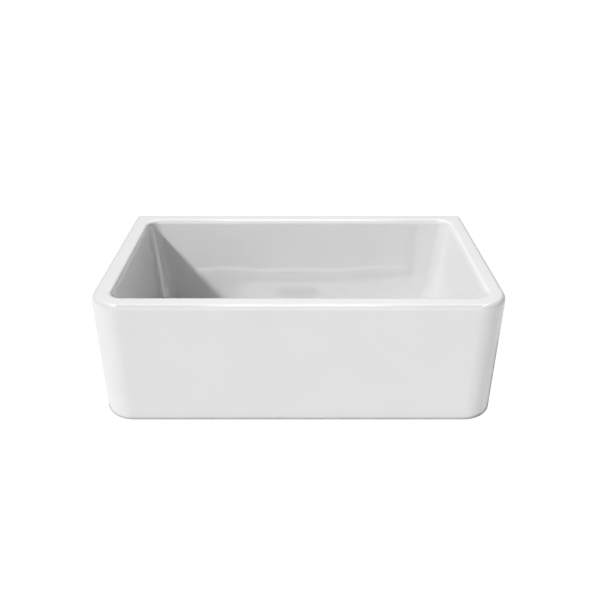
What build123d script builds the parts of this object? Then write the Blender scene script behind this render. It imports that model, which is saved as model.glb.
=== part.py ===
from build123d import *
import math
import os

# Farmhouse apron front sink, single bowl, with the basket strainer waste that it drains through.
#
# Frame: X to the right seen from the front, Y to the back, Z up, millimetres.
# Origin: middle of the ground foot that the bowl stands on, so the apron faces -Y and the
# plane Z = 0 is the top of the cabinet deck. The waste hangs below that plane, through the
# cut-out in the deck.

# ---------------------------------------------------------------- driving dimensions
W = 762.0            # width of the bowl casting
D = 452.0            # depth, apron face to back face
H = 253.0            # height
R_FRONT = 61.5       # plan radius of the two front corners
R_REAR = 12.0        # plan radius of the two back corners
R_EDGE = 10.0        # round along the whole outer edge of the rim
R_BOTTOM = 6.0       # round along the bottom edge
R_LIP = 9.5          # round on the inner edge of the rim
T_RIM = 37.0         # width of the rim, the same on all four sides

Z_FLOOR = 27.0       # bowl floor at the foot of the walls
R_MOUTH = 25.0       # inner corner radius at the rim
R_FOOT = 38.0        # inner corner radius at the floor
R_COVE = 20.0        # cove between walls and floor
DRAFT_SIDE = 4.5     # degrees, side and front walls
DRAFT_BACK = 4.7     # degrees, back wall

FOOT = 52.0          # width of the ground foot round the underside
FOOT_DEEP = 4.5      # depth of the panel inside the foot

Y_DRAIN = 20.0       # outlet axis, measured from the middle of the bowl towards the back
Z_DISH = 24.5        # floor level at the edge of the outlet seat
R_DISH = 125.0       # reach of the fall towards the outlet
R_SEAT = 58.6        # recess that the strainer flange drops into
Z_SEAT = 21.5        # under the flange
R_HOLE = 45.0        # outlet hole through the casting

DRAIN = Pos(0, Y_DRAIN, 0)
OUT = "parts"
os.makedirs(OUT, exist_ok=True)


def save(name, shape):
    """Writes one sub-part, after a check that it holds only sound solids."""
    solids = shape.solids()
    shape = solids[0] if len(solids) == 1 else Compound(children=list(solids))
    print(f"{name:18s} solids {len(solids)} volume {sum(s.volume for s in solids):12.1f} valid {all(s.is_valid for s in solids)}")
    export_step(shape, os.path.join(OUT, name + ".step"))


def turned(points, at=DRAIN):
    """A solid of revolution about the outlet axis. Points are (radius, height)."""
    wire = Polyline([(r, 0, z) for r, z in points], close=True)
    return at * revolve(make_face(wire), axis=Axis.Z)


def thread(r_crest, r_root, z_top, z_bottom, pitch):
    """(radius, height) points of a thread's ridges, from the top down."""
    points, z = [], z_top
    while z - pitch >= z_bottom - 1e-6:
        points += [(r_root, z), (r_crest, z - 0.38 * pitch), (r_crest, z - 0.62 * pitch)]
        z -= pitch
    points.append((r_root, z))
    return points


# ---------------------------------------------------------------- the glazed bowl
Y0, Y1 = -D / 2, D / 2


def plan():
    """The plan outline as a face at Z = 0."""
    x, f, r = W / 2, R_FRONT, R_REAR
    cf, cr = f * math.cos(math.pi / 4), r * math.cos(math.pi / 4)
    edges = [
        Line((-x + f, Y0), (x - f, Y0)),
        ThreePointArc((x - f, Y0), (x - f + cf, Y0 + f - cf), (x, Y0 + f)),
        Line((x, Y0 + f), (x, Y1 - r)),
        ThreePointArc((x, Y1 - r), (x - r + cr, Y1 - r + cr), (x - r, Y1)),
        Line((x - r, Y1), (-x + r, Y1)),
        ThreePointArc((-x + r, Y1), (-x + r - cr, Y1 - r + cr), (-x, Y1 - r)),
        Line((-x, Y1 - r), (-x, Y0 + f)),
        ThreePointArc((-x, Y0 + f), (-x + f - cf, Y0 + f - cf), (-x + f, Y0)),
    ]
    return make_face(Wire(edges))


def top_edges(shape, z):
    return [e for e in shape.edges() if abs(e.bounding_box().min.Z - z) < 1e-4 and abs(e.bounding_box().max.Z - z) < 1e-4]


# block with the soft round along the whole top edge, and a smaller one along the bottom
block = extrude(plan(), H)
block = fillet(top_edges(block, H), R_EDGE)
block = fillet(top_edges(block, 0.0), R_BOTTOM)
print("block", block.is_valid, round(block.volume))

# the cavity: drafted walls, corners that open out towards the floor
slope_s, slope_b = math.tan(math.radians(DRAFT_SIDE)), math.tan(math.radians(DRAFT_BACK))


def mouth(z):
    """Half width, front, back and corner radius of the cavity at a height."""
    down = H - z
    share = down / (H - Z_FLOOR)
    return (
        W / 2 - T_RIM - down * slope_s,
        Y0 + T_RIM + down * slope_s,
        Y1 - T_RIM - down * slope_b,
        R_MOUTH + (R_FOOT - R_MOUTH) * share,
    )


def section(z):
    hx, ya, yb, r = mouth(z)
    return Pos(0, (ya + yb) / 2, z) * RectangleRounded(2 * hx, yb - ya, r)


cavity = loft([section(Z_FLOOR).face(), section(H + 10).face()], ruled=True)
cavity = fillet(top_edges(cavity, Z_FLOOR), R_COVE)
print("cavity", cavity.is_valid, round(cavity.volume))
bowl = block - cavity

# rounded lip on the inner edge of the rim
inner = [e for e in top_edges(bowl, H) if abs(e.center().X) < W / 2 - T_RIM + 2 and Y0 + T_RIM - 2 < e.center().Y < Y1 - T_RIM + 2]
bowl = fillet(inner, R_LIP)
print("lip", bowl.is_valid)

# fall of the floor towards the outlet, seat and hole
fall = turned([(0, Z_DISH), (R_SEAT, Z_DISH), (R_DISH, Z_FLOOR), (R_DISH, Z_FLOOR + 1), (0, Z_FLOOR + 1)])
bowl = bowl - fall
bowl = bowl - DRAIN * Pos(0, 0, Z_SEAT) * Cylinder(R_SEAT, 20, align=(Align.CENTER, Align.CENTER, Align.MIN))
bowl = bowl - DRAIN * Cylinder(R_HOLE, 120)
# panel inside the ground foot
panel = extrude(RectangleRounded(W - 2 * FOOT, D - 2 * FOOT, 40), FOOT_DEEP)
bowl = bowl - panel
save("sink_bowl", bowl)

# ---------------------------------------------------------------- strainer body in the outlet
T_GASKET = 1.5       # gasket under the flange
R_FLANGE = 57.15     # strainer flange, 4 1/2 inch
Z_FLANGE = Z_SEAT + T_GASKET
Z_FLANGE_TOP = Z_FLANGE + 2.3
R_CUP = 41.3         # inside of the strainer cup
R_CUP_ROOT = 42.5    # outside, at the thread root
R_CUP_CREST = 43.4   # outside, at the thread crest
CUP_PITCH = 3.2
Z_STOP = -20.0       # sealing face that the stopper rests on
T_CUP = 1.5
R_THROAT = 20.0      # way out of the cup
R_NIPPLE = 23.8      # 1 1/2 inch outlet thread, crest
NIPPLE_PITCH = 2.2
Z_NIPPLE = -44.0     # lower end of the outlet nipple

save("flange_gasket", turned([(46.0, Z_SEAT), (56.5, Z_SEAT), (56.5, Z_FLANGE), (46.0, Z_FLANGE)]))

cup_profile = (
    [(R_FLANGE, Z_FLANGE), (R_FLANGE, Z_FLANGE + 0.8), (R_FLANGE - 1.4, Z_FLANGE + 1.6), (50.5, Z_FLANGE_TOP)]
    + [(44.6, Z_FLANGE_TOP), (42.7, Z_FLANGE_TOP - 0.6), (41.65, Z_FLANGE_TOP - 1.8), (R_CUP, Z_FLANGE_TOP - 4.2)]
    + [(R_CUP, Z_STOP + 4.6), (R_CUP - 1.2, Z_STOP + 1.5), (R_CUP - 4.4, Z_STOP), (R_THROAT, Z_STOP)]
    + [(R_THROAT, Z_STOP - T_CUP), (R_CUP - 3.8, Z_STOP - T_CUP), (R_CUP - 0.2, Z_STOP + 0.6), (R_CUP_ROOT, Z_STOP + 4.0)]
)
cup_profile += list(reversed(thread(R_CUP_CREST, R_CUP_ROOT, 19.0, Z_STOP + 4.5, CUP_PITCH)))
cup_profile += [(R_CUP_ROOT, Z_FLANGE - 1.2), (R_CUP_CREST, Z_FLANGE)]
save("strainer_cup", turned(cup_profile))

nipple = [(R_THROAT, Z_NIPPLE), (R_THROAT, Z_STOP - T_CUP), (R_NIPPLE, Z_STOP - T_CUP), (R_NIPPLE, Z_STOP - 4.0)]
nipple += thread(R_NIPPLE, R_NIPPLE - 0.9, Z_STOP - 4.5, Z_NIPPLE + 1.0, NIPPLE_PITCH)
nipple += [(R_NIPPLE - 0.9, Z_NIPPLE)]
save("outlet_nipple", turned(nipple))

# cross bar in the throat, with the boss that guides the basket's post
Z_SPIDER = Z_STOP - 4.0
R_GUIDE = 3.35
bars = Box(2 * R_THROAT + 4, 3.0, 3.0, align=(Align.CENTER, Align.CENTER, Align.MAX)) + Box(3.0, 2 * R_THROAT + 4, 3.0, align=(Align.CENTER, Align.CENTER, Align.MAX))
spider = bars + Cylinder(5.6, 6.0, align=(Align.CENTER, Align.CENTER, Align.MAX))
spider = spider & Cylinder(R_THROAT, 20.0)
spider = spider - Cylinder(R_GUIDE, 40.0)
save("strainer_spider", DRAIN * Pos(0, 0, Z_SPIDER) * spider)

# ---------------------------------------------------------------- clamping stack under the casting
T_RUBBER, T_FRICTION = 3.0, 1.0
Z_R = FOOT_DEEP - T_RUBBER
Z_LOCK_TOP = Z_R - T_FRICTION
Z_LOCK = Z_LOCK_TOP - 14.0
save("rubber_washer", turned([(43.8, Z_R), (56.0, Z_R), (56.0, FOOT_DEEP), (43.8, FOOT_DEEP)]))
save("friction_ring", turned([(43.8, Z_LOCK_TOP), (55.5, Z_LOCK_TOP), (55.5, Z_R), (43.8, Z_R)]))

lock = turned([(43.7, Z_LOCK), (49.2, Z_LOCK), (50.0, Z_LOCK + 0.8), (50.0, Z_LOCK_TOP - 3.0), (56.0, Z_LOCK_TOP - 3.0), (57.0, Z_LOCK_TOP - 2.0), (57.0, Z_LOCK_TOP), (43.7, Z_LOCK_TOP)])
for i in range(6):
    lug = Pos(52.9, 0, (Z_LOCK + Z_LOCK_TOP - 3.0) / 2) * Box(7.4, 9.0, Z_LOCK_TOP - 3.0 - Z_LOCK)
    lock = lock + DRAIN * Rot(0, 0, 60 * i) * lug
save("locknut", lock)

# ---------------------------------------------------------------- tailpiece and its coupling nut
T_NYLON = 2.5
R_TAIL = 19.05       # 1 1/2 inch tube, outside
T_TAIL = 1.2
R_TAIL_FLANGE = 22.3
Z_TAIL = -150.0      # lower end of the tailpiece
Z_TF = Z_NIPPLE - T_NYLON
save("tailpiece_washer", turned([(R_TAIL - T_TAIL, Z_TF), (R_TAIL_FLANGE, Z_TF), (R_TAIL_FLANGE, Z_NIPPLE), (R_THROAT, Z_NIPPLE)]))
R_NECK, R_NECK_BORE = 18.4, 17.2      # the short drawn-in neck inside the coupling nut
Z_NECK = Z_TF - 8.5
tail = [
    (R_TAIL - T_TAIL, Z_TAIL), (R_TAIL, Z_TAIL), (R_TAIL, Z_NECK), (R_NECK, Z_NECK + 0.8), (R_NECK, Z_TF - 2.0), (R_TAIL_FLANGE, Z_TF - 2.0),
    (R_TAIL_FLANGE, Z_TF), (R_NECK_BORE, Z_TF), (R_NECK_BORE, Z_NECK + 0.8), (R_TAIL - T_TAIL, Z_NECK),
]
save("tailpiece", turned(tail))

AF_NUT = 58.0
Z_NUT_TOP, Z_NUT = Z_STOP - 8.0, Z_TF - 6.0
nut = Pos(0, 0, Z_NUT) * extrude(RegularPolygon(AF_NUT / 2, 6, major_radius=False), Z_NUT_TOP - Z_NUT)
r_corner = AF_NUT / 2 / math.cos(math.pi / 6)
keep = turned([(0, Z_NUT), (r_corner - 2.6, Z_NUT), (r_corner + 0.2, Z_NUT + 1.8), (r_corner + 0.2, Z_NUT_TOP - 1.8), (r_corner - 2.6, Z_NUT_TOP), (0, Z_NUT_TOP)], at=Pos(0, 0, 0))
nut = nut & keep
nut = nut - Pos(0, 0, Z_TF - 2.0) * Cylinder(R_NIPPLE + 0.3, 40, align=(Align.CENTER, Align.CENTER, Align.MIN))
nut = nut - Pos(0, 0, Z_NUT - 1) * Cylinder(R_TAIL + 0.35, 10, align=(Align.CENTER, Align.CENTER, Align.MIN))
save("coupling_nut", DRAIN * nut)

# ---------------------------------------------------------------- lift-out basket
R_BASKET = 40.6      # rim of the basket, a loose fit in the cup
Z_RIM = 20.0
Z_PAN = -10.0        # underside of the basket's bottom
T_PAN = 0.8
R_POST = 3.5
R_TIP = 3.0
R_PAN = 33.4         # where the bottom turns up into the side
R_SIDE = 38.4        # top of the pierced side
D_HOLE = 3.6

pan = turned([
    (R_POST + 0.1, Z_PAN), (R_PAN - 1.5, Z_PAN), (R_PAN, Z_PAN + 0.9), (R_SIDE, Z_RIM - 4.5), (R_SIDE + 0.7, Z_RIM - 2.6), (R_BASKET, Z_RIM - 1.4), (R_BASKET, Z_RIM - 0.3),
    (R_BASKET - 0.4, Z_RIM), (R_SIDE + 0.2, Z_RIM - 1.4), (R_SIDE - 0.8, Z_RIM - 4.2), (R_PAN - 0.8, Z_PAN + 1.4), (R_PAN - 1.8, Z_PAN + T_PAN), (R_POST + 0.1, Z_PAN + T_PAN),
])
drills = []
for radius, count in ((19.0, 16), (25.0, 22), (30.2, 27)):
    for i in range(count):
        drills.append(Rot(0, 0, 360.0 * i / count) * Pos(radius, 0, Z_PAN) * Cylinder(D_HOLE / 2, 6))
lean = math.degrees(math.atan2(R_SIDE - R_PAN, Z_RIM - 4.5 - Z_PAN - 0.9))
for row in range(3):
    z = Z_PAN + 6.5 + 6.2 * row
    radius = R_PAN + (R_SIDE - R_PAN) * (z - Z_PAN - 0.9) / (Z_RIM - 4.5 - Z_PAN - 0.9)
    for i in range(26):
        drills.append(Rot(0, 0, 360.0 * (i + 0.5 * (row % 2)) / 26) * Pos(radius, 0, z) * Rot(0, 90 - lean, 0) * Cylinder(D_HOLE / 2, 6))
pan = pan - [DRAIN * d for d in drills]
save("basket_cup", pan)

Z_TIP = Z_SPIDER - 6.5
Z_SHOULDER = Z_STOP + 3.0
Z_KNOB = Z_FLANGE_TOP + 18.0
post = turned([
    (0, Z_TIP), (R_TIP - 0.8, Z_TIP), (R_TIP, Z_TIP + 0.8), (R_TIP, Z_TIP + 2.2), (R_TIP - 0.5, Z_TIP + 2.8), (R_TIP - 0.5, Z_TIP + 4.2), (R_TIP, Z_TIP + 4.8),
    (R_TIP, Z_SHOULDER), (R_POST, Z_SHOULDER), (R_POST, Z_KNOB - 4.5), (0, Z_KNOB - 4.5),
])
save("basket_post", post)

knob = turned([
    (0, Z_KNOB - 4.5), (R_POST, Z_KNOB - 4.5), (R_POST, Z_KNOB - 17.5), (5.4, Z_KNOB - 17.5), (5.9, Z_KNOB - 16.8), (5.6, Z_KNOB - 12.0), (6.4, Z_KNOB - 9.2),
    (9.2, Z_KNOB - 7.2), (12.2, Z_KNOB - 6.0), (13.0, Z_KNOB - 4.8), (12.9, Z_KNOB - 3.6), (11.8, Z_KNOB - 2.2), (9.4, Z_KNOB - 1.0), (5.6, Z_KNOB - 0.25), (0, Z_KNOB),
])
save("basket_knob", knob)

R_STOP = 34.5
stopper = turned([
    (R_POST + 0.1, Z_SHOULDER), (8.0, Z_SHOULDER), (8.0, Z_STOP), (R_STOP - 0.8, Z_STOP), (R_STOP, Z_STOP + 0.8), (R_STOP, Z_STOP + 2.6), (R_STOP - 1.4, Z_STOP + 4.2),
    (16.5, Z_STOP + 5.4), (14.0, Z_PAN - 1.0), (R_POST + 0.1, Z_PAN - 1.0),
])
save("basket_stopper", stopper)
save("stopper_washer", turned([(R_POST + 0.1, Z_PAN - 1.0), (14.0, Z_PAN - 1.0), (14.0, Z_PAN), (R_POST + 0.1, Z_PAN)]))
hexnut = extrude(RegularPolygon(5.5, 6, major_radius=False), 4.0) - Cylinder(R_TIP + 0.05, 20)
save("stopper_nut", DRAIN * Pos(0, 0, Z_SHOULDER - 4.0) * hexnut)
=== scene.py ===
import math

import bpy
import numpy as np
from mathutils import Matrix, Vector


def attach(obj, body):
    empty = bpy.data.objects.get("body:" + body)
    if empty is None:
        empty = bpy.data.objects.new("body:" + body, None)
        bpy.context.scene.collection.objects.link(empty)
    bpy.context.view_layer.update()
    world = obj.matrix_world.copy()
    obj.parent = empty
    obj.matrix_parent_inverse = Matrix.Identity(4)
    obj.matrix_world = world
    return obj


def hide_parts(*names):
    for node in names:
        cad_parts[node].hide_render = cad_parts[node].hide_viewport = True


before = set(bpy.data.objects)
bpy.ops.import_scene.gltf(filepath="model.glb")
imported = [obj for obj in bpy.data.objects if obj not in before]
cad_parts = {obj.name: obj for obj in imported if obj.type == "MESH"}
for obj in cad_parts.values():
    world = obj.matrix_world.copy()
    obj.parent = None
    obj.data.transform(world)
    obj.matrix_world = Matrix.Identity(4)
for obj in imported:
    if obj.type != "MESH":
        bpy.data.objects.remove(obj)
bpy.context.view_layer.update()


MM = 0.001

# ------------------------------------------------------------------ sizes, as in the CAD, in millimetres
W, D, H = 762.0, 452.0, 253.0
R_FRONT, R_REAR = 61.5, 12.0
R_EDGE = 10.0
R_BOTTOM = 6.0
T_RIM = 37.0
R_LIP = 9.5
R_MOUTH, R_FOOT = 25.0, 38.0
Z_FLOOR, Z_DISH = 27.0, 24.5
R_COVE = 20.0
DRAFT_SIDE, DRAFT_BACK = 4.5, 4.7
FOOT, FOOT_DEEP = 52.0, 4.5
Y_DRAIN = 20.0
R_SEAT, Z_SEAT, R_HOLE = 58.6, 21.5, 45.0
Y0, Y1 = -D / 2, D / 2
INNER_X = W / 2 - T_RIM
INNER_F = Y0 + T_RIM
INNER_B = Y1 - T_RIM


# ------------------------------------------------------------------ bowl mesh
# A ring of stations runs round the bowl, anticlockwise seen from above, the same for every ring:
# four corners, each a quarter turn, and the four straight runs between them.
N_CORNER_F, N_CORNER_R = 26, 12
N_FRONT, N_SIDE, N_BACK = 96, 64, 116


def stations():
    out = []                                      # (corner or side, which, parameter)
    for side, n in (("corner", N_CORNER_F), ("right", N_SIDE), ("corner", N_CORNER_R), ("back", N_BACK), ("corner", N_CORNER_R), ("left", N_SIDE), ("corner", N_CORNER_F), ("front", N_FRONT)):
        k = sum(1 for o in out if o[0] == "corner" and o[3] == 0) if side == "corner" else -1
        for i in range(n):
            out.append((side, k, i / n, i))
    return out


ST = stations()
NS = len(ST)
# corner order: 0 front right, 1 rear right, 2 rear left, 3 front left
C_SIGN = [(1, -1), (1, 1), (-1, 1), (-1, -1)]
C_START = [-90.0, 0.0, 90.0, 180.0]
SIDE_BETWEEN = {"right": (0, 1), "back": (1, 2), "left": (2, 3), "front": (3, 0)}


def ring(hx, yf, yb, rf, rb):
    """Station points of a rounded rectangle: half width, front and back, front and rear corner radius."""
    radius = [rf, rb, rb, rf]
    centre = [(sx * (hx - radius[k]), (yf + radius[k]) if sy < 0 else (yb - radius[k])) for k, (sx, sy) in enumerate(C_SIGN)]
    pts = np.zeros((NS, 2))
    nrm = np.zeros((NS, 2))

    def corner_point(k, t):
        a = math.radians(C_START[k] + 90.0 * t)
        n = (math.cos(a), math.sin(a))
        return (centre[k][0] + radius[k] * n[0], centre[k][1] + radius[k] * n[1]), n

    for i, (side, k, t, _) in enumerate(ST):
        if side == "corner":
            p, n = corner_point(k, t)
        else:
            a, b = SIDE_BETWEEN[side]
            (p0, n), (p1, _) = corner_point(a, 1.0), corner_point(b, 0.0)
            p = (p0[0] + (p1[0] - p0[0]) * t, p0[1] + (p1[1] - p0[1]) * t)
        pts[i], nrm[i] = p, n
    return pts, nrm


def smooth(t):
    t = np.clip(t, 0.0, 1.0)
    return t * t * (3 - 2 * t)


BASE, BASE_N = ring(W / 2, Y0, Y1, R_FRONT, R_REAR)

# the back wall tips forwards and back along its width, by a fraction of a degree: length in mm, tilt in radians,
# phase, height of the middle of the band that tips, and its reach up and down
TIPS = [(168.0, 0.0032, 4.59, 135.0, 20.0, 20.0), (827.0, 0.0214, 0.73, 110.0, 29.0, 18.0)]
LEAN, TWIST = -0.0064, -0.0334                    # of the second band

rings, tags = [], []


def add(xy, z, tag):
    z = np.full(NS, float(z)) if np.isscalar(z) else z
    rings.append(np.column_stack([xy, z]))
    tags.append(tag)


drain = np.array([0.0, Y_DRAIN])


def inner(z_wall, phi_t=None):
    """Ring on the inner wall: at a height, or on the lip at a share of its arc."""
    out = []
    for a in (math.radians(DRAFT_SIDE), math.radians(DRAFT_BACK)):
        if phi_t is None:
            out.append(((H - z_wall) * math.tan(a), z_wall))
        else:
            phi = phi_t * (math.pi / 2 - a)
            dc = -R_LIP * (1 - math.sin(a)) / math.cos(a)
            out.append((dc + R_LIP * math.sin(phi), H - R_LIP + R_LIP * math.cos(phi)))
    (d_s, z_s), (d_b, z_b) = out
    share = max(0.0, (H - z_s) / (H - Z_FLOOR))
    r = R_MOUTH + (R_FOOT - R_MOUTH) * share + max(0.0, -d_s)
    xy, n = ring(INNER_X - d_s, INNER_F + d_s, INNER_B - d_b, r, r)
    back = np.clip(n[:, 1], 0, 1) ** 2
    z = z_s + (z_b - z_s) * back
    return xy, z, n


# 1. seat recess and floor, from the hole outwards
def circle(r, directions):
    return drain + directions * r


def cove_ring(t):
    out = []
    for a in (math.radians(DRAFT_SIDE), math.radians(DRAFT_BACK)):
        zc = Z_FLOOR + R_COVE
        dc = (H - zc) * math.tan(a) + R_COVE / math.cos(a)
        psi = -a + t * (math.pi / 2 + a)           # the wall's contact point lies above the centre, since the wall leans out
        out.append((dc - R_COVE * math.cos(psi), zc - R_COVE * math.sin(psi)))
    (d_s, z_s), (d_b, z_b) = out
    share = (H - z_s) / (H - Z_FLOOR)
    r = R_MOUTH + (R_FOOT - R_MOUTH) * min(1.0, share)
    grown = d_s - (H - min(z_s, H)) * math.tan(math.radians(DRAFT_SIDE))
    r = max(4.0, r - max(0.0, grown))
    xy, n = ring(INNER_X - d_s, INNER_F + d_s, INNER_B - d_b, r, r)
    back = np.clip(n[:, 1], 0, 1) ** 2
    return xy, z_s + (z_b - z_s) * back, n


edge, _, _ = cove_ring(1.0)
direction = edge - drain
direction /= np.linalg.norm(direction, axis=1)[:, None]

hole = circle(R_HOLE, direction)

# underside panel, from its outline to the hole
outline = {}
for off in (-1.5, 0.0, 2.0):
    outline[off], _ = ring(W / 2 - FOOT - off, Y0 + FOOT + off, Y1 - FOOT - off, 40.0 - off, 40.0 - off)

add(outline[-1.5], 0.0, "raw")
add(outline[0.0] + (outline[-1.5] - outline[0.0]) * 0.35, 0.35, "raw")
add(outline[0.0], 1.3, "raw")
add(outline[0.0], FOOT_DEEP - 1.2, "raw")
add(outline[2.0] + (outline[0.0] - outline[2.0]) * 0.65, FOOT_DEEP - 0.3, "raw")
add(outline[2.0], FOOT_DEEP, "raw")
for t in np.linspace(0, 1, 13)[1:]:
    add(outline[2.0] + (circle(R_HOLE + 1.0, direction) - outline[2.0]) * t, FOOT_DEEP, "raw")
# hole
add(hole, FOOT_DEEP + 1.0, "raw")
for t in (0.33, 0.66):
    add(hole, FOOT_DEEP + 1.0 + (Z_SEAT - 1.0 - FOOT_DEEP - 1.0) * t, "raw")
add(hole, Z_SEAT - 1.0, "raw")
add(circle(R_HOLE + 1.0, direction), Z_SEAT, "glaze")
# seat recess
for r in (49.0, 53.0, 56.6):
    add(circle(r, direction), Z_SEAT, "glaze")
for t in (0.35, 0.7, 1.0):
    a = t * math.pi / 2
    add(circle(R_SEAT - 2.0 + 2.0 * math.sin(a), direction), Z_SEAT + 2.0 - 2.0 * math.cos(a), "glaze")
R_LEDGE = 0.9
for t in (0.0, 0.4, 0.7, 1.0):
    a = t * math.pi / 2
    add(circle(R_SEAT + R_LEDGE - R_LEDGE * math.cos(a), direction), Z_DISH - R_LEDGE + R_LEDGE * math.sin(a), "glaze")
# floor: falls gently from the cove to the seat
start = circle(R_SEAT + R_LEDGE, direction)
for t in np.linspace(0, 1, 30)[1:-1]:
    s = t ** 1.15
    add(start + (edge - start) * s, Z_DISH + (Z_FLOOR - Z_DISH) * smooth(s), "glaze")
# cove, wall, lip
for t in np.linspace(1, 0, 15):
    xy, z, _ = cove_ring(t)
    add(xy, z, "glaze")
a = math.radians(DRAFT_SIDE)
z_hi = H - R_LIP + R_LIP * math.sin(a)
z_lo = Z_FLOOR + R_COVE + R_COVE * math.sin(a)
N_WALL = 44
for i in range(1, N_WALL):
    z = z_lo + (z_hi - z_lo) * i / N_WALL
    xy, zz, _ = inner(z)
    add(xy, zz, "glaze")
for t in np.linspace(1, 0, 13):
    xy, z, _ = inner(None, t)
    add(xy, z, "glaze")
# rim, from the lip to the outer round
lip_end = rings[-1][:, :2].copy()
outer_start = BASE - BASE_N * R_EDGE
for t in np.linspace(0, 1, 9)[1:-1]:
    add(lip_end + (outer_start - lip_end) * t, H, "glaze")
# outer round
for t in np.linspace(0, 1, 14):
    a = t * math.pi / 2
    add(BASE - BASE_N * (R_EDGE * (1 - math.sin(a))), H - R_EDGE * (1 - math.cos(a)), "glaze")
# outer wall
N_OUT = 36
z_top = H - R_EDGE
for i in range(1, N_OUT):
    t = i / N_OUT
    add(BASE.copy(), z_top + (R_BOTTOM - z_top) * t, "glaze")
# bottom round
for t in np.linspace(0, 1, 9):
    a = t * math.pi / 2
    off = R_BOTTOM * (1 - math.cos(a))
    xy, _ = ring(W / 2 - off, Y0 + off, Y1 - off, R_FRONT - off, max(0.5, R_REAR - off))
    add(xy, R_BOTTOM - R_BOTTOM * math.sin(a), "glaze" if t < 0.8 else "raw")
for t in (0.25, 0.5, 0.75):
    off = R_BOTTOM + (FOOT - 1.5 - R_BOTTOM) * t
    o2, _ = ring(W / 2 - R_BOTTOM, Y0 + R_BOTTOM, Y1 - R_BOTTOM, R_FRONT - R_BOTTOM, R_REAR - R_BOTTOM)
    add(o2 + (outline[-1.5] - o2) * t, 0.0, "raw")

NR = len(rings)
V = np.vstack(rings)


def grid_normals(v):
    g = v.reshape(NR, NS, 3)
    du = np.roll(g, -1, axis=1) - np.roll(g, 1, axis=1)
    dv = np.roll(g, -1, axis=0) - np.roll(g, 1, axis=0)
    n = np.cross(dv, du)
    n /= np.maximum(np.linalg.norm(n, axis=2), 1e-9)[:, :, None]
    return n


# slight waves left in the walls by casting and firing, seen in the mirror images
g = V.reshape(NR, NS, 3)
normals = grid_normals(V)
x, y, z = g[:, :, 0], g[:, :, 1], g[:, :, 2]


def wave(seed, scale):
    rng = np.random.default_rng(seed)
    total = np.zeros_like(x)
    for _ in range(7):
        k = rng.normal(size=3)
        k *= 2 * math.pi / (scale * rng.uniform(0.75, 1.5)) / np.linalg.norm(k)
        total += np.sin(k[0] * x + k[1] * y + k[2] * z + rng.uniform(0, 2 * math.pi))
    return total / 7 ** 0.5


inside = (np.abs(x) < INNER_X + 1) & (y > INNER_F - 1) & (y < INNER_B + 1) & (z > Z_DISH + 0.2)
level = smooth((H - 10 - z) / 25.0) * smooth((z - Z_DISH - 0.2) / 6.0)
on_back = np.where(inside, smooth((-normals[:, :, 1] - 0.9) / 0.08) * (y > 100), 0.0)
amount = np.where(inside, 0.05 * wave(3, 130.0) * level * (1.0 - on_back), 0.0)
fade = level * on_back * smooth((H - 10 - z) / 90.0) * smooth((INNER_X - 30 - np.abs(x)) / 60.0)
for k, (length, size, phase, at, up, down) in enumerate(TIPS):
    tip = size * np.sin(2 * math.pi * x / length + phase) + k * (LEAN + TWIST * x / 300.0)
    reach = np.where(z > at, up, down)
    amount -= fade * tip * reach * np.tanh((z - at) / reach)
g = g + normals * amount[:, :, None]

verts = (g.reshape(-1, 3) * MM).tolist()
faces, mats = [], []
for r in range(NR):
    r2 = (r + 1) % NR
    for s in range(NS):
        s2 = (s + 1) % NS
        faces.append((r * NS + s, r2 * NS + s, r2 * NS + s2, r * NS + s2))
        mats.append(1 if tags[r] == "raw" and tags[r2] == "raw" else 0)
mesh = bpy.data.meshes.new("fireclay_bowl")
mesh.from_pydata(verts, [], faces)
mesh.polygons.foreach_set("material_index", mats)
mesh.polygons.foreach_set("use_smooth", [True] * len(faces))
mesh.update()
bowl = bpy.data.objects.new("fireclay_bowl", mesh)
bpy.context.scene.collection.objects.link(bowl)


# ------------------------------------------------------------------ materials
def new_material(name):
    m = bpy.data.materials.new(name)
    m.use_nodes = True
    nt = m.node_tree
    for n in list(nt.nodes):
        nt.nodes.remove(n)
    out = nt.nodes.new("ShaderNodeOutputMaterial")
    b = nt.nodes.new("ShaderNodeBsdfPrincipled")
    nt.links.new(b.outputs[0], out.inputs[0])
    return m, nt, b


def noise(nt, vector, scale, detail=4.0, roughness=0.5):
    n = nt.nodes.new("ShaderNodeTexNoise")
    n.inputs["Scale"].default_value = scale
    n.inputs["Detail"].default_value = detail
    n.inputs["Roughness"].default_value = roughness
    nt.links.new(vector, n.inputs["Vector"])
    return n.outputs["Fac"]


def ramp(nt, fac, low, high, a=0.3, b=0.7):
    r = nt.nodes.new("ShaderNodeValToRGB")
    r.color_ramp.elements[0].color = (*low, 1)
    r.color_ramp.elements[1].color = (*high, 1)
    r.color_ramp.elements[0].position = a
    r.color_ramp.elements[1].position = b
    nt.links.new(fac, r.inputs["Fac"])
    return r.outputs["Color"]


def spread(nt, fac, low, high):
    """A noise value mapped on to a range."""
    r = nt.nodes.new("ShaderNodeMapRange")
    r.inputs["From Min"].default_value = 0.3
    r.inputs["From Max"].default_value = 0.7
    r.inputs["To Min"].default_value = low
    r.inputs["To Max"].default_value = high
    nt.links.new(fac, r.inputs["Value"])
    return r.outputs["Result"]


def bump(nt, b, fac, distance, strength=1.0):
    n = nt.nodes.new("ShaderNodeBump")
    n.inputs["Strength"].default_value = strength
    n.inputs["Distance"].default_value = distance
    nt.links.new(fac, n.inputs["Height"])
    nt.links.new(n.outputs["Normal"], b.inputs["Normal"])
    return n


def place(nt):
    return nt.nodes.new("ShaderNodeTexCoord").outputs["Object"]


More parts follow.
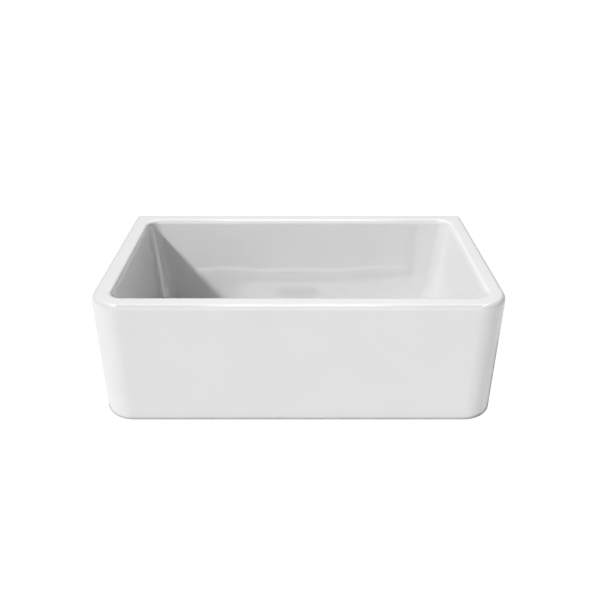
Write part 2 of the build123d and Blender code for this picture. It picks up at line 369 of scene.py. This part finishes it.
def turned_place(nt, along_z=1.0):
    """Coordinates that follow a lathe: radius from the outlet axis, and height."""
    sub = nt.nodes.new("ShaderNodeVectorMath")
    sub.operation = "SUBTRACT"
    sub.inputs[1].default_value = (0.0, Y_DRAIN * MM, 0.0)
    nt.links.new(place(nt), sub.inputs[0])
    flat = nt.nodes.new("ShaderNodeVectorMath")
    flat.operation = "MULTIPLY"
    flat.inputs[1].default_value = (1.0, 1.0, 0.0)
    nt.links.new(sub.outputs[0], flat.inputs[0])
    r = nt.nodes.new("ShaderNodeVectorMath")
    r.operation = "LENGTH"
    nt.links.new(flat.outputs[0], r.inputs[0])
    sep = nt.nodes.new("ShaderNodeSeparateXYZ")
    nt.links.new(sub.outputs[0], sep.inputs[0])
    up = nt.nodes.new("ShaderNodeMath")
    up.operation = "MULTIPLY"
    up.inputs[1].default_value = along_z
    nt.links.new(sep.outputs[2], up.inputs[0])
    both = nt.nodes.new("ShaderNodeCombineXYZ")
    nt.links.new(r.outputs["Value"], both.inputs[0])
    nt.links.new(up.outputs[0], both.inputs[1])
    return both.outputs[0]


def glaze_material():
    """White fireclay glaze: glassy, with the faint cloudiness and orange peel of a dipped coat."""
    m, nt, b = new_material("glaze")
    at = place(nt)
    nt.links.new(ramp(nt, noise(nt, at, 9.0), (0.645, 0.645, 0.642), (0.679, 0.679, 0.678)), b.inputs["Base Color"])
    nt.links.new(spread(nt, noise(nt, at, 26.0, 3.0), 0.02, 0.04), b.inputs["Roughness"])
    b.inputs["IOR"].default_value = 2.5
    bump(nt, b, noise(nt, at, 40.0, 2.0, 0.4), 0.000004, 0.5)
    return m


def raw_material():
    """Bare fired clay on the ground foot and inside the panel under the bowl."""
    m, nt, b = new_material("bisque")
    at = place(nt)
    nt.links.new(ramp(nt, noise(nt, at, 140.0, 6.0), (0.50, 0.43, 0.34), (0.70, 0.63, 0.53)), b.inputs["Base Color"])
    nt.links.new(spread(nt, noise(nt, at, 60.0), 0.75, 0.95), b.inputs["Roughness"])
    bump(nt, b, noise(nt, at, 700.0, 5.0, 0.65), 0.0004, 0.5)
    return m


def turned_metal(name, low, high, rough, lines=5200.0, depth=0.000012, along_z=1.0):
    m, nt, b = new_material(name)
    at = turned_place(nt, along_z)
    fine = noise(nt, at, lines, 2.0, 0.6)
    nt.links.new(ramp(nt, noise(nt, at, lines * 0.4, 3.0), low, high), b.inputs["Base Color"])
    nt.links.new(spread(nt, noise(nt, place(nt), 45.0, 3.0), rough * 0.8, rough * 1.3), b.inputs["Roughness"])
    b.inputs["Metallic"].default_value = 1.0
    b.inputs["Anisotropic"].default_value = 0.5
    bump(nt, b, fine, depth, 0.7)
    return m


def polished_metal(name, low, high, rough):
    m, nt, b = new_material(name)
    at = place(nt)
    nt.links.new(ramp(nt, noise(nt, at, 60.0, 3.0), low, high), b.inputs["Base Color"])
    nt.links.new(spread(nt, noise(nt, at, 130.0, 5.0, 0.6), rough * 0.7, rough * 1.8), b.inputs["Roughness"])
    b.inputs["Metallic"].default_value = 1.0
    bump(nt, b, noise(nt, at, 300.0, 2.0), 0.00001, 0.5)
    return m


def cast_metal(name, low, high, rough):
    m, nt, b = new_material(name)
    at = place(nt)
    nt.links.new(ramp(nt, noise(nt, at, 90.0, 6.0, 0.6), low, high), b.inputs["Base Color"])
    nt.links.new(spread(nt, noise(nt, at, 220.0, 4.0), rough * 0.8, rough * 1.25), b.inputs["Roughness"])
    b.inputs["Metallic"].default_value = 1.0
    bump(nt, b, noise(nt, at, 900.0, 4.0, 0.6), 0.00012, 0.6)
    return m


def matt(name, low, high, rough, grain=900.0, depth=0.00006, spot=160.0):
    m, nt, b = new_material(name)
    at = place(nt)
    nt.links.new(ramp(nt, noise(nt, at, spot, 5.0, 0.6), low, high), b.inputs["Base Color"])
    nt.links.new(spread(nt, noise(nt, at, 300.0, 3.0), rough * 0.88, min(1.0, rough * 1.1)), b.inputs["Roughness"])
    bump(nt, b, noise(nt, at, grain, 4.0, 0.6), depth, 0.6)
    return m


FINISH = {
    "strainer_steel": turned_metal("strainer_steel", (0.42, 0.42, 0.415), (0.54, 0.54, 0.535), 0.24),
    "post_steel": turned_metal("post_steel", (0.64, 0.64, 0.64), (0.72, 0.72, 0.72), 0.24, 4200.0),
    "knob_chrome": polished_metal("knob_chrome", (0.60, 0.60, 0.605), (0.68, 0.68, 0.68), 0.1),
    "plated_brass": polished_metal("plated_brass", (0.66, 0.66, 0.655), (0.73, 0.73, 0.72), 0.09),
    "zinc": cast_metal("zinc", (0.44, 0.45, 0.46), (0.60, 0.61, 0.62), 0.42),
    "gasket_rubber": matt("gasket_rubber", (0.028, 0.028, 0.028), (0.05, 0.05, 0.05), 0.72),
    "stopper_rubber": matt("stopper_rubber", (0.03, 0.03, 0.031), (0.055, 0.055, 0.056), 0.6),
    "fibre": matt("fibre", (0.30, 0.21, 0.12), (0.46, 0.35, 0.22), 0.9, 1500.0, 0.0001, 420.0),
    "nylon": matt("nylon", (0.78, 0.77, 0.72), (0.85, 0.84, 0.79), 0.42, 600.0, 0.00003, 60.0),
}
WEARS = {
    "flange_gasket": "gasket_rubber", "strainer_cup": "strainer_steel", "strainer_spider": "strainer_steel", "outlet_nipple": "plated_brass",
    "rubber_washer": "gasket_rubber", "friction_ring": "fibre", "locknut": "zinc", "tailpiece_washer": "nylon", "tailpiece": "plated_brass",
    "coupling_nut": "zinc", "basket_cup": "strainer_steel", "basket_post": "post_steel", "basket_knob": "knob_chrome",
    "basket_stopper": "stopper_rubber", "stopper_washer": "strainer_steel", "stopper_nut": "post_steel",
}
for node, finish in WEARS.items():
    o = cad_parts[node]
    if not o.material_slots:
        o.data.materials.append(FINISH[finish])
    for held in o.material_slots:
        held.material = FINISH[finish]


glaze = glaze_material()
raw = raw_material()
mesh.materials.append(glaze)
mesh.materials.append(raw)
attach(bowl, "sink")
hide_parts("sink_bowl")

# ------------------------------------------------------------------ stage, light and camera
scene = bpy.context.scene
scene.view_settings.view_transform = "Standard"
scene.view_settings.look = "None"
# the camera's response: straight in the greys, with a soft shoulder that leaves detail in the brightest glaze
SHOULDER = 0.4
scene.view_settings.use_curve_mapping = True
response = scene.view_settings.curve_mapping
response.white_level = (1.0 + SHOULDER,) * 3
for shown in (0.3, 0.5, 0.65, 0.78, 0.9):
    response.curves[3].points.new(shown * (1.0 + SHOULDER * shown ** 3) / (1.0 + SHOULDER), shown)
response.update()
WHITE = 1.0 + SHOULDER + 0.1

CAM_F, CAM_TILT, CAM_UP, CAM_AWAY, CAM_CX = 666.33, 28.12, 563.89, 1030.98, 298.61
cam = bpy.data.cameras.new("camera")
cam.sensor_width = 36.0
cam.sensor_fit = "HORIZONTAL"
cam.lens = CAM_F * 36.0 / 600.0
cam.shift_x = (300.0 - CAM_CX) / 600.0
cam.clip_start = 0.01
cam.clip_end = 50
cam_obj = bpy.data.objects.new("camera", cam)
cam_obj.location = (0, (Y0 - CAM_AWAY) * MM, (H + CAM_UP) * MM)
cam_obj.rotation_euler = (math.radians(90.0 - CAM_TILT), 0, 0)
scene.collection.objects.link(cam_obj)
scene.camera = cam_obj

# pale floor with the cut-out of a deck, so that only the outer strip of the foot stands on it; the band from
# 8 mm inside to 9 mm outside the foot is painted near black, a painted contact shade that draws the thin dark line
# along the bottom of the apron
cut, _ = ring(W / 2 - 8.0, Y0 + 8.0, Y1 - 8.0, R_FRONT - 8.0, 5.0)
near, _ = ring(W / 2 + 9.0, Y0 - 9.0, Y1 + 9.0, R_FRONT + 9.0, R_REAR + 9.0)
far = near * (6000.0 / np.abs(near).max(axis=1))[:, None]
fv = [(px * MM, py * MM, -0.0002) for px, py in np.vstack([cut, near, far])]
ff = [(r * NS + i, (r + 1) * NS + i, (r + 1) * NS + (i + 1) % NS, r * NS + (i + 1) % NS) for r in (0, 1) for i in range(NS)]
fm = bpy.data.meshes.new("floor")
fm.from_pydata(fv, [], ff)
fm.polygons.foreach_set("material_index", [0] * NS + [1] * NS)
floor = bpy.data.objects.new("floor", fm)
scene.collection.objects.link(floor)
# painted shade: the first floor material, on the band round the foot, is near black in the light it throws back; the
# camera sees both as plain white
for name, grey in (("floor_painted_shade", 0.03), ("floor", 0.8)):
    m, nt, b = new_material(name)
    b.inputs["Base Color"].default_value = (grey, grey, grey, 1)
    b.inputs["Roughness"].default_value = 0.9
    lp = nt.nodes.new("ShaderNodeLightPath")
    em = nt.nodes.new("ShaderNodeEmission")
    em.inputs["Color"].default_value = (1, 1, 1, 1)
    em.inputs["Strength"].default_value = WHITE
    mix = nt.nodes.new("ShaderNodeMixShader")
    out = [q for q in nt.nodes if q.type == "OUTPUT_MATERIAL"][0]
    nt.links.new(lp.outputs["Is Camera Ray"], mix.inputs[0])
    nt.links.new(b.outputs[0], mix.inputs[1])
    nt.links.new(em.outputs[0], mix.inputs[2])
    nt.links.new(mix.outputs[0], out.inputs[0])
    fm.materials.append(m)

# soft light from a few broad directions: azimuth (0 is the front, 90 the right), elevation, falloff power, strength
LOBES = [(0, 3, 5, 0.82), (135, 3, 5, 3.19), (225, 3, 5, 1.94), (315, 3, 5, 1.04)]
DOME = 0.0
# the same, as the glaze mirrors it; the last one is the sun
GLOSS = [(0, 10, 5, 1.18), (0, 50, 5, 0.52), (180, 50, 5, 2.75), (75, 40, 12, 0.6), (302.2, 45.2, 400, 6.0)]
GLOSS_DOME = 0.05
LIGHT = {"key": 4.17}
# overhead softboxes as the glaze mirrors them: middle and half width across, from the direction's x, with the
# width of its soft edge, and brightness; all run from 22 degrees in front of the zenith to 32 behind it
BOXES = [(0.0, 0.13, 0.03, 1.65), (0.0, 0.24, 0.08, 0.30), (-0.39, 0.07, 0.03, 2.8), (0.41, 0.06, 0.03, 2.8)]
BOX_FROM, BOX_TO = 68.0, 122.0

world = bpy.data.worlds.new("world")
scene.world = world
world.use_nodes = True
wn = world.node_tree
for q in list(wn.nodes):
    wn.nodes.remove(q)
wo = wn.nodes.new("ShaderNodeOutputWorld")
wt = wn.nodes.new("ShaderNodeTexCoord")
wl = wn.nodes.new("ShaderNodeLightPath")


def backdrop(lobes, dome):
    """A background whose strength is the sum of the lobes."""
    last = None
    for azimuth, elevation, power, strength in lobes:
        az, el = math.radians(azimuth), math.radians(elevation)
        dot = wn.nodes.new("ShaderNodeVectorMath")
        dot.operation = "DOT_PRODUCT"
        dot.inputs[1].default_value = (math.sin(az) * math.cos(el), -math.cos(az) * math.cos(el), math.sin(el))
        wn.links.new(wt.outputs["Generated"], dot.inputs[0])
        lobe = wn.nodes.new("ShaderNodeMath")
        lobe.operation = "MAXIMUM"
        lobe.inputs[1].default_value = 0.0
        wn.links.new(dot.outputs["Value"], lobe.inputs[0])
        raised = wn.nodes.new("ShaderNodeMath")
        raised.operation = "POWER"
        raised.inputs[1].default_value = power
        wn.links.new(lobe.outputs[0], raised.inputs[0])
        part = wn.nodes.new("ShaderNodeMath")
        part.operation = "MULTIPLY_ADD"
        part.inputs[1].default_value = strength
        part.inputs[2].default_value = dome
        wn.links.new(raised.outputs[0], part.inputs[0])
        if last is not None:
            wn.links.new(last.outputs[0], part.inputs[2])
        last = part
    light = wn.nodes.new("ShaderNodeBackground")
    light.inputs["Color"].default_value = (1, 1, 1, 1)
    wn.links.new(last.outputs[0], light.inputs["Strength"])
    return light.outputs[0]


def math_node(operation, a, b=None):
    n = wn.nodes.new("ShaderNodeMath")
    n.operation = operation
    for k, v in enumerate((a, b)):
        if v is None:
            continue
        if isinstance(v, (int, float)):
            n.inputs[k].default_value = v
        else:
            wn.links.new(v, n.inputs[k])
    return n.outputs[0]


def window(value, low, high, soft):
    """1 between low and high, falling softly to 0 on both sides."""
    ends = []
    for edge, sign in ((low, 1.0), (high, -1.0)):
        r = wn.nodes.new("ShaderNodeMapRange")
        r.interpolation_type = "SMOOTHSTEP"
        r.inputs["From Min"].default_value = edge - soft if sign > 0 else edge + soft
        r.inputs["From Max"].default_value = edge + soft if sign > 0 else edge - soft
        wn.links.new(value, r.inputs["Value"])
        ends.append(r.outputs["Result"])
    return math_node("MULTIPLY", *ends)


def overhead(shader):
    """The softboxes, added to a background."""
    sep = wn.nodes.new("ShaderNodeSeparateXYZ")
    wn.links.new(wt.outputs["Generated"], sep.inputs[0])
    rise = math_node("ARCTAN2", sep.outputs[2], math_node("MULTIPLY", sep.outputs[1], -1.0))
    along = window(rise, math.radians(BOX_FROM), math.radians(BOX_TO), math.radians(5.0))
    total = 0.0
    for middle, half, soft, strength in BOXES:
        total = math_node("ADD", math_node("MULTIPLY", window(sep.outputs[0], middle - half, middle + half, soft), strength), total)
    light = wn.nodes.new("ShaderNodeBackground")
    light.inputs["Color"].default_value = (1, 1, 1, 1)
    wn.links.new(math_node("MULTIPLY", total, along), light.inputs["Strength"])
    both = wn.nodes.new("ShaderNodeAddShader")
    wn.links.new(shader, both.inputs[0])
    wn.links.new(light.outputs[0], both.inputs[1])
    return both.outputs[0]


def either(fac, a, b):
    mixed = wn.nodes.new("ShaderNodeMixShader")
    wn.links.new(fac, mixed.inputs[0])
    wn.links.new(a, mixed.inputs[1])
    wn.links.new(b, mixed.inputs[2])
    return mixed.outputs[0]


white = wn.nodes.new("ShaderNodeBackground")
white.inputs["Color"].default_value = (1, 1, 1, 1)
white.inputs["Strength"].default_value = WHITE
lit = either(wl.outputs["Is Glossy Ray"], backdrop(LOBES, DOME), overhead(backdrop(GLOSS, GLOSS_DOME)))
wn.links.new(either(wl.outputs["Is Camera Ray"], lit, white.outputs[0]), wo.inputs[0])

sun = bpy.data.lights.new("key", "SUN")
sun.energy = LIGHT["key"]
sun.angle = math.radians(6.0)
key = bpy.data.objects.new("key", sun)
d = Vector((1.0, 0.63, -1.19))
key.rotation_euler = d.to_track_quat("-Z", "Y").to_euler()
key.visible_glossy = False
scene.collection.objects.link(key)
